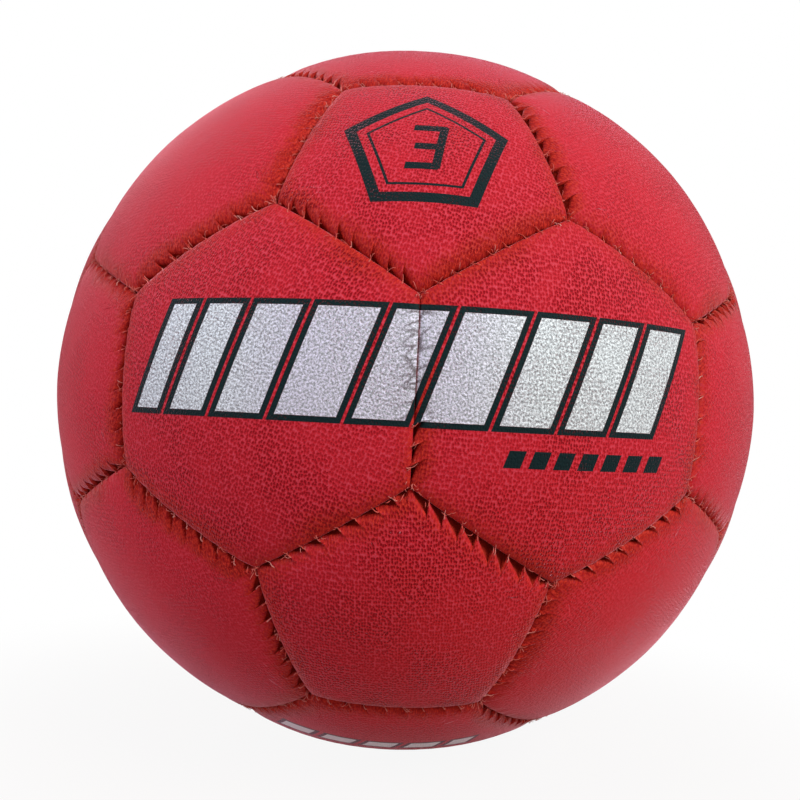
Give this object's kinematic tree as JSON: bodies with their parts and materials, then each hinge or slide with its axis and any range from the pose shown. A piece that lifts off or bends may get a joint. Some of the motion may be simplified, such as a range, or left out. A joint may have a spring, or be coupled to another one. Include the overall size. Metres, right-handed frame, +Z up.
{
  "type": "handball",
  "caption": "Inflatable stitched handball: hexagonal and pentagonal panels of grained red synthetic leather over cloth linings, a rubber bladder and a needle valve.",
  "frame": {"origin": "centre of the ball", "axes": "+Z up as in the picture, -Y towards the viewer; X, Y and Z each run through the middle of a seam between two hexagons"},
  "size_m": [0.1876, 0.1876, 0.1876],
  "materials": {
    "cover": "matte grained synthetic leather, red",
    "lining_cloth": "laminated woven cotton and polyester, off-white",
    "thread": "waxed polyester thread",
    "bladder_rubber": "smooth butyl rubber, black",
    "valve_rubber": "moulded rubber, dark grey",
    "plug_rubber": "soft rubber, off-white"
  },
  "bodies": {
    "root": {"hexagon_panel_01": "cover", "hexagon_panel_02": "cover", "hexagon_panel_03": "cover", "hexagon_panel_04": "cover", "hexagon_panel_05": "cover", "hexagon_panel_06": "cover", "hexagon_panel_07": "cover", "hexagon_panel_08": "cover", "hexagon_panel_09": "cover", "hexagon_panel_10": "cover", "hexagon_panel_11": "cover", "hexagon_panel_12": "cover", "hexagon_panel_13": "cover", "hexagon_panel_14": "cover", "hexagon_panel_15": "cover", "hexagon_panel_16": "cover", "hexagon_panel_17": "cover", "hexagon_panel_18": "cover", "hexagon_panel_19": "cover", "hexagon_panel_20": "cover", "pentagon_panel_01": "cover", "pentagon_panel_02": "cover", "pentagon_panel_03": "cover", "pentagon_panel_04": "cover", "pentagon_panel_05": "cover", "pentagon_panel_06": "cover", "pentagon_panel_07": "cover", "pentagon_panel_08": "cover", "pentagon_panel_09": "cover", "pentagon_panel_10": "cover", "pentagon_panel_11": "cover", "pentagon_panel_12": "cover", "hexagon_linings": "lining_cloth", "pentagon_linings": "lining_cloth", "valve_patch": "lining_cloth", "hexagon_seam_thread": "thread", "pentagon_seam_thread": "thread", "bladder": "bladder_rubber", "valve_body": "valve_rubber", "valve_plug": "plug_rubber"}
  },
  "joints": []
}
